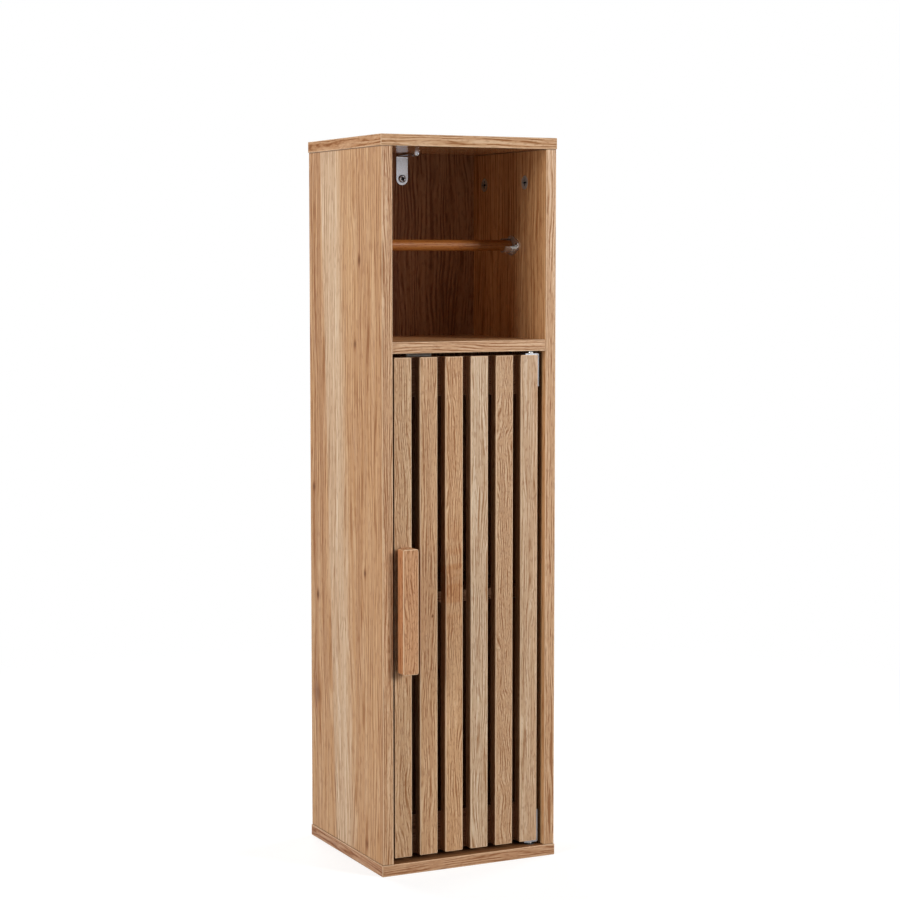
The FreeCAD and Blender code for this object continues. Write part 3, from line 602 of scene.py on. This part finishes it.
SLAT_GRAIN = {
    "fineness": 1.5, "waver": 0.6, "bands": 0.5, "streaks": 0.7, "lines": 1.0, "pores": 0.35, "edge": 1.0,
}
SLATS = {
    "slat_1": {"tint": (200, 159, 119), "lean": 2.5},
    "slat_2": {
        "tint": (195, 152, 112), "lean": -0.6, "length": 1.3, "streaks": 0.85,
        "knots": [(Vector((-0.044, -0.0905, 0.273)), 0.0014, 1.0)],
    },
    "slat_3": {
        "tint": (201, 157, 115), "lean": 0.8, "marks": [(flame, (0.31, 0.045), FLAME_SHARES)],
        "knots": [(Vector((-0.0258, -0.084, 0.125)), 0.0022, 1.0)],
    },
    "slat_4": {
        "tint": (206, 175, 143), "lean": -0.5, "length": 1.5, "streaks": 1.0, "lines": 0.9,
        "knots": [(Vector((0.0043, -0.085, 0.167)), 0.0024, 1.0)],
    },
    "slat_5": {"tint": (190, 149, 111), "lean": 1.4, "length": 0.7, "lines": 1.15},
    "slat_6": {"tint": (195, 160, 126), "lean": 0.4, "length": 1.5, "streaks": 1.0, "lines": 0.85},
}
FIRST_SLAT_SEED = 10.3
SLAT_SEED_STEP = 1.9
slats = {}
for index, (name, own) in enumerate(SLATS.items()):
    slat_seed = FIRST_SLAT_SEED + index * SLAT_SEED_STEP
    slats[name] = oak_board(name, along="Z", seed=slat_seed, **{**SLAT_GRAIN, **own})

# The first slat's sides are painted nearly black up to its front, as painted shade in the gap beside it
FIRST_SHADE_REACH = {"SideStart": 0.0013, "SideFull": 0.0008, "FrontStart": 0.0, "FrontFull": 0.0004}
FIRST_SHADE_SHARES = (0.1, 0.07, 0.05, 1.0)
paint_side_shade(slats.pop("slat_1"), FIRST_SHADE_SHARES, FIRST_SHADE_REACH)
# The other slats' sides are painted darker, as painted shade in the gaps between them
for slat in slats.values():
    paint_side_shade(slat)

# Battens
# Two flat oak bars across the back of the door that hold the slats together.
# Their tint is darker than the slats', as painted shade behind the gaps.

BATTEN_SHADE_TINT = (126, 84, 54)
for name, seed in (("top_batten", 24.0), ("bottom_batten", 26.0)):
    oak_board(name, along="X", seed=seed, tint=BATTEN_SHADE_TINT, fineness=1.5, lines=0.6, edge=0.2)

# Handle
# A milled oak bar with a finger groove along its left side, screwed on from behind its slat.
# Its corners are rounded.

HANDLE_TINT = (192, 140, 98)
HANDLE_SIDE_SHADE = (0.93, 0.78, 0.68, 1.0)
handle = oak_board(
    "door_handle", along="Z", seed=30.2, tint=HANDLE_TINT, fineness=1.5, waver=0.5, streaks=0.8, lines=1.0,
    pores=0.4, edge=1.0,
)
# Its sides are painted darker and redder, as painted shade
paint_side_shade(handle, HANDLE_SIDE_SHADE)

# Rod
# A turned bamboo rod that drops into the two sockets of the bay.
# Its ends are chamfered.

BAMBOO_TINT = (152, 90, 34)
oak_board(
    "roll_rod", along="X", seed=33.3, tint=BAMBOO_TINT, fineness=1.6, waver=0.15, bands=0.6, streaks=0.8,
    lines=0.5, pores=0.4, edge=0.0,
)

# Wall bracket
# A strip of steel, bent to an angle with rounded ends and chrome plated.
# One leg is screwed up into the top panel, and the other lies on the back panel for the wall screw.

CLOUDING_CYCLES = (120, 120, 120)
MARK_CYCLES = (2600, 2600, 240)
TARNISH_RANGE = (0.52, 0.75)


def make_metal_marks():
    """Faint polishing marks and clouding on metal."""
    tree, given, result = start_group(
        "metal_marks",
        {"Place": "Vector", "Base": "Float", "Cloud": "Float"},
        {"Roughness": "Float", "Height": "Float", "Tarnish": "Float"},
    )
    clouds = cloud(tree, given["Place"], CLOUDING_CYCLES, detail=3)
    marks = cloud(tree, given["Place"], MARK_CYCLES, detail=3)
    rough = work_out(tree, "ADD", given["Base"], swing(tree, clouds, given["Cloud"]))
    rough = work_out(tree, "ADD", rough, swing(tree, marks, given["Cloud"]))
    plug(tree, result["Roughness"], rough)
    plug(tree, result["Height"], marks)
    plug(tree, result["Tarnish"], eased(tree, clouds, *TARNISH_RANGE))
    return tree


metal_marks = make_metal_marks()
TARNISH_SHARE = 0.6
MARK_DEPTH = 0.00005


def metal_finish(name, colour, tarnish, roughness, clouding, relief, metallic=1.0):
    """A plated or bare metal. One that is less than fully metallic is dulled by its casting skin."""
    finish = start_finish(name)
    tree = finish.tree
    marks = put_group(tree, metal_marks, Place=finish.place, Base=roughness, Cloud=clouding)
    shade = work_out(tree, "MULTIPLY", marks["Tarnish"], TARNISH_SHARE)
    plug(tree, finish.shader["Base Color"], mixed(tree, shade, paint(*colour), paint(*tarnish)))
    plug(tree, finish.shader["Roughness"], marks["Roughness"])
    finish.shader["Metallic"].default_value = metallic
    press(finish, marks["Height"], MARK_DEPTH, relief)
    return finish


chrome = metal_finish(
    "bright_chrome", colour=(190, 191, 197), tarnish=(160, 159, 162), roughness=0.22, clouding=0.12,
    relief=0.08,
)
dress(chrome, "wall_bracket")

# Rod sockets
# Cast zinc eyes with an open cup, chrome plated, that take the ends of the rod.
# Each has two screws into its side panel.

socket_chrome = metal_finish(
    "socket_chrome", colour=(226, 224, 222), tarnish=(176, 173, 170), roughness=0.18, clouding=0.12,
    relief=0.1, metallic=0.7,
)
dress(socket_chrome, "left_rod_socket", "right_rod_socket")

# Hinge plates
# Flat steel angles, zinc plated and dull, that lap the right slat's ends and are screwed to its side.
# A pin is riveted into each, and turns in a bush in the cabinet.

satin_steel = metal_finish(
    "satin_steel", colour=(142, 144, 149), tarnish=(116, 116, 118), roughness=0.4, clouding=0.16,
    relief=0.15, metallic=0.85,
)
dress(satin_steel, "upper_hinge_plate", "lower_hinge_plate")

# Cam fittings and shelf pins
# Die-cast zinc with a dull grey skin. The cams sit in round bores and have a cross for the driver.
# They draw the bolts' heads in, and the pins are pressed into the sides under the inner shelf.

ZINC = {
    "colour": (188, 187, 184), "tarnish": (146, 143, 138), "roughness": 0.34, "clouding": 0.2,
    "relief": 0.25, "metallic": 0.6,
}
zinc = metal_finish("zinc_fitting", **ZINC)
dress(zinc, "cam_bolts", "shelf_pins")
cam_zinc = metal_finish("cam_zinc", **ZINC)
dress(cam_zinc, "cam_locks")

# What lies deeper in the side panels than their inner faces, such as the cams' cross recesses, is painted
# nearly black as painted shade
SUNK_SHADE_REACH = (0.0003, 0.0009)
SUNK_SHADE_SHARES = (0.03, 0.028, 0.026, 1.0)
side_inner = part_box("right_side_panel")[0].x
outwards = work_out(cam_zinc.tree, "ABSOLUTE", split(cam_zinc.tree, cam_zinc.place)["X"])
sunk_shade = eased(cam_zinc.tree, outwards, *[side_inner + reach for reach in SUNK_SHADE_REACH])
paint_shade(cam_zinc, sunk_shade, SUNK_SHADE_SHARES)

# Screws, strike, pole plates and pivot pins
# Turned and pressed steel, zinc plated and bright.
# The screws hold the fittings to the wood, and the strike meets the catch's pole plates.

steel = metal_finish(
    "bright_steel", colour=(200, 200, 198), tarnish=(160, 158, 152), roughness=0.26, clouding=0.14,
    relief=0.15,
)
dress(
    steel, "bracket_screw", "socket_screws", "catch_screws", "slat_screws", "handle_screws",
    "hinge_plate_screws", "strike_screws", "strike_plate", "catch_pole_plates", "upper_pivot_pin",
    "lower_pivot_pin",
)

# Catch housing and hinge bushes
# Moulded from nylon, with a faint cloud in it: the housing white, the bushes black.
# The housing is screwed under the shelf, and the bushes are pressed into the shelf and the bottom panel.

def make_fine_specks():
    """A fine cloud in a plain finish: its colour, its roughness and its height."""
    tree, given, result = start_group(
        "fine_specks",
        {
            "Place": "Vector", "Cycles": "Float", "First": "Color", "Second": "Color", "Base": "Float",
            "Spread": "Float",
        },
        {"Colour": "Color", "Roughness": "Float", "Height": "Float"},
    )
    specks = cloud(tree, given["Place"], joined(tree, *[given["Cycles"]] * 3), detail=3)
    plug(tree, result["Colour"], mixed(tree, specks, given["First"], given["Second"]))
    plug(tree, result["Roughness"], work_out(tree, "MULTIPLY_ADD", specks, given["Spread"], given["Base"]))
    plug(tree, result["Height"], specks)
    return tree


fine_specks = make_fine_specks()
SPECK_DEPTH = 0.0001


def clouded(name, cycles, colours, roughness, spread, relief):
    """A plain finish with a fine cloud in it, between two colours."""
    finish = start_finish(name)
    first, second = [paint(*colour) for colour in colours]
    specks = put_group(
        finish.tree, fine_specks, Place=finish.place, Cycles=cycles, First=first, Second=second,
        Base=roughness, Spread=spread,
    )
    plug(finish.tree, finish.shader["Base Color"], specks["Colour"])
    plug(finish.tree, finish.shader["Roughness"], specks["Roughness"])
    press(finish, specks["Height"], SPECK_DEPTH, relief)
    return finish


white_nylon = clouded(
    "white_nylon", cycles=400, colours=((224, 222, 216), (240, 238, 233)), roughness=0.32, spread=0.2,
    relief=0.1,
)
dress(white_nylon, "catch_housing")
black_nylon = clouded(
    "black_nylon", cycles=400, colours=((26, 25, 25), (40, 39, 38)), roughness=0.34, spread=0.2, relief=0.1,
)
dress(black_nylon, "upper_hinge_bush", "lower_hinge_bush")

# Magnet
# A pressed and sintered block of black ferrite with a grainy skin.
# It lies between the pole plates in the catch's housing.

ferrite = clouded(
    "black_ferrite", cycles=1800, colours=((28, 27, 27), (62, 60, 58)), roughness=0.45, spread=0.3,
    relief=0.3,
)
dress(ferrite, "catch_magnet")

# Dowels
# Turned beech pegs, glued into one board and hidden in the joint with the next.
# They line the boards up while the cams are turned.

beech = clouded(
    "beech_dowel", cycles=700, colours=((190, 146, 104), (222, 186, 146)), roughness=0.55, spread=0.2,
    relief=0.25,
)
dress(beech, "wood_dowels")

# Wall screw
# A turned pan-head steel screw, chrome plated, with a deep cross recess that is painted black as painted
# shade.
# It goes through the bracket's lower hole and the back panel into the wall.

HEAD_RADIUS = 0.0046
HEAD_HEIGHT = 0.0028
CROWN_RADIUS = 0.0036
CROWN_HEIGHT = 0.002632
SHOULDER_HEIGHT = 0.00154
SHANK_RADIUS = 0.0018
SHANK_LENGTH = 0.006
SCREW_RINGS = (
    (CROWN_RADIUS, CROWN_HEIGHT), (HEAD_RADIUS, SHOULDER_HEIGHT), (HEAD_RADIUS, 0.0),
    (SHANK_RADIUS, 0.0), (SHANK_RADIUS, -SHANK_LENGTH),
)
CROSS_HALF = 0.0025
ARM_HALF = 0.0007
CROSS_DEPTH = 0.0016
CROSS_TAPER = 0.75
CROSS_TURN = 30.0
BRACKET_PLATE = 0.002

bracket_low, bracket_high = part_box("wall_bracket")
hole_height = bracket_low.z + (bracket_high.x - bracket_low.x) / 2
wall_hole = Vector((0.0, bracket_high.y - BRACKET_PLATE, hole_height))

# The crown's middle is a grid of nine faces, of which five make the cross
screw = bmesh.new()
bmesh.ops.create_grid(screw, x_segments=3, y_segments=3, size=CROSS_HALF)
for vert in screw.verts:
    vert.co.x = math.copysign(ARM_HALF, vert.co.x) if abs(vert.co.x) < CROSS_HALF / 2 else vert.co.x
    vert.co.y = math.copysign(ARM_HALF, vert.co.y) if abs(vert.co.y) < CROSS_HALF / 2 else vert.co.y
    vert.co.z = HEAD_HEIGHT
cross = [
    face for face in screw.faces
    if min(abs(face.calc_center_median().x), abs(face.calc_center_median().y)) < ARM_HALF / 2
]
rim = [edge for edge in screw.edges if edge.is_boundary]
for radius, height in SCREW_RINGS:
    ring = bmesh.ops.extrude_edge_only(screw, edges=rim)["geom"]
    rim = [made for made in ring if isinstance(made, bmesh.types.BMEdge) and made.is_boundary]
    for vert in {vert for edge in rim for vert in edge.verts}:
        vert.co.xy = vert.co.xy.normalized() * radius
        vert.co.z = height
bmesh.ops.contextual_create(screw, geom=rim)
dug = bmesh.ops.extrude_face_region(screw, geom=cross)["geom"]
dug_verts = [made for made in dug if isinstance(made, bmesh.types.BMVert)]
bmesh.ops.delete(screw, geom=cross, context="FACES")
bmesh.ops.translate(screw, verts=dug_verts, vec=(0.0, 0.0, -CROSS_DEPTH))
bmesh.ops.scale(screw, verts=dug_verts, vec=(CROSS_TAPER, CROSS_TAPER, 1.0))
for face in screw.faces:
    face.smooth = True
    face.material_index = int(any(vert in dug_verts for vert in face.verts))
bmesh.ops.recalc_face_normals(screw, faces=screw.faces)
turn_cross = Matrix.Rotation(math.radians(CROSS_TURN), 4, "Z")
face_front = Matrix.Rotation(math.radians(90), 4, "X")
place_screw = Matrix.Translation(wall_hole) @ face_front @ turn_cross
bmesh.ops.transform(screw, matrix=place_screw, verts=screw.verts)
screw_mesh = bpy.data.meshes.new("wall_screw")
screw.to_mesh(screw_mesh)
screw.free()
# The faces of the cross recess get a near-black finish, as painted shade
recess_shade = clouded(
    "recess_shade", cycles=2400, colours=((10, 10, 10), (22, 21, 20)), roughness=0.5, spread=0.2, relief=0.2,
)
screw_mesh.materials.append(chrome.material)
screw_mesh.materials.append(recess_shade.material)
wall_screw = bpy.data.objects.new("wall_screw", screw_mesh)
bpy.context.collection.objects.link(wall_screw)
rounding = wall_screw.modifiers.new("rounding", "SUBSURF")
rounding.levels = rounding.render_levels = 2
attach(wall_screw, "carcass")

# Studio
# A pale floor that runs out to white and keeps the cabinet's shadow, and a world that is white to look at.
# Soft boxes stand to the left, the front right, the right and behind.

scene = bpy.context.scene
scene.view_settings.view_transform = "Standard"

FLOOR_HALF = 8.0
floor_mesh = bmesh.new()
bmesh.ops.create_grid(floor_mesh, x_segments=1, y_segments=1, size=FLOOR_HALF)
floor_data = bpy.data.meshes.new("floor")
floor_mesh.to_mesh(floor_data)
floor_mesh.free()
floor = bpy.data.objects.new("floor", floor_data)
bpy.context.collection.objects.link(floor)


def seen_directly(tree):
    """1 for what the camera, a mirror or glass sees, 0 for what lights other surfaces."""
    path = tree.nodes.new("ShaderNodeLightPath").outputs
    mirrored = work_out(tree, "MAXIMUM", path["Is Glossy Ray"], path["Is Transmission Ray"])
    return work_out(tree, "MAXIMUM", path["Is Camera Ray"], mirrored)


# To look at, the floor is lit by the boxes near the cabinet and white by itself further out
FLOOR_GREY = (0.4, 0.4, 0.4, 1.0)
FLOOR_REACH = (1.3, 0.3)
SHADOW_GREY = 0.42
NEAR_LOSS = 0.3
floor_material = bpy.data.materials.new("pale_floor")
floor_material.use_nodes = True
floor_tree = floor_material.node_tree
floor_tree.nodes.clear()
floor_place = floor_tree.nodes.new("ShaderNodeTexCoord").outputs["Object"]
floor_paint = floor_tree.nodes.new("ShaderNodeBsdfDiffuse")
floor_paint.inputs["Color"].default_value = FLOOR_GREY
floor_away = work_out(floor_tree, "SQRT", work_out_dot(floor_tree, floor_place, floor_place))
floor_near = eased(floor_tree, floor_away, *FLOOR_REACH)
floor_shade = floor_tree.nodes.new("ShaderNodeBsdfDiffuse")
plug(floor_tree, floor_shade.inputs["Color"], work_out(floor_tree, "MULTIPLY", floor_near, SHADOW_GREY))
floor_white = floor_tree.nodes.new("ShaderNodeEmission")
floor_glow = work_out(floor_tree, "MULTIPLY_ADD", floor_near, -NEAR_LOSS, 1.0)
plug(floor_tree, floor_white.inputs["Strength"], floor_glow)
floor_seen = floor_tree.nodes.new("ShaderNodeAddShader")
plug(floor_tree, floor_seen.inputs[0], floor_white.outputs[0])
plug(floor_tree, floor_seen.inputs[1], floor_shade.outputs[0])
floor_shader = floor_tree.nodes.new("ShaderNodeMixShader")
plug(floor_tree, floor_shader.inputs[0], seen_directly(floor_tree))
plug(floor_tree, floor_shader.inputs[1], floor_paint.outputs[0])
plug(floor_tree, floor_shader.inputs[2], floor_seen.outputs[0])
floor_end = floor_tree.nodes.new("ShaderNodeOutputMaterial")
plug(floor_tree, floor_end.inputs["Surface"], floor_shader.outputs[0])
floor_data.materials.append(floor_material)

AMBIENT = 0.03
world = bpy.data.worlds.new("studio")
world.use_nodes = True
scene.world = world
world_tree = world.node_tree
world_light = world_tree.nodes["Background"]
world_strength = work_out(world_tree, "MULTIPLY_ADD", seen_directly(world_tree), 1.0 - AMBIENT, AMBIENT)
world_light.inputs["Color"].default_value = (1.0, 1.0, 1.0, 1.0)
plug(world_tree, world_light.inputs["Strength"], world_strength)

AIM = Vector((0.0, 0.0, 0.37))


def soft_box(name, bearing, rise, distance, width, height, power):
    """A soft box that faces the cabinet: bearing in degrees from the front, to the left."""
    around = math.radians(bearing)
    up = math.radians(rise)
    way = Vector((-math.sin(around) * math.cos(up), -math.cos(around) * math.cos(up), math.sin(up)))
    light = bpy.data.lights.new(name, "AREA")
    light.shape = "RECTANGLE"
    light.size = width
    light.size_y = height
    light.energy = power
    lamp = bpy.data.objects.new(name, light)
    lamp.location = AIM + way * distance
    lamp.rotation_euler = way.to_track_quat("Z", "Y").to_euler()
    lamp.visible_camera = False
    bpy.context.collection.objects.link(lamp)


soft_box("left_soft_box", bearing=77.0, rise=17.0, distance=2.2, width=0.8, height=1.6, power=34.5)
soft_box("front_soft_box", bearing=-38.0, rise=17.0, distance=3.5, width=0.87, height=1.3, power=91.0)
soft_box("right_soft_box", bearing=-108.0, rise=18.0, distance=2.2, width=0.6, height=1.6, power=16.0)
soft_box("rear_soft_box", bearing=180.0, rise=34.0, distance=2.4, width=1.6, height=1.2, power=36.0)

CAMERA_PLACE = (-1.0478, -2.1787, 0.6535)
CAMERA_DIP = 4.725
CAMERA_TURN = -26.189
lens = bpy.data.cameras.new("camera")
lens.sensor_width = 36.0
lens.lens = 88.246
lens.shift_y = -0.012
camera = bpy.data.objects.new("camera", lens)
camera.location = CAMERA_PLACE
camera.rotation_euler = (math.radians(90 - CAMERA_DIP), 0.0, math.radians(CAMERA_TURN))
bpy.context.collection.objects.link(camera)
scene.camera = camera
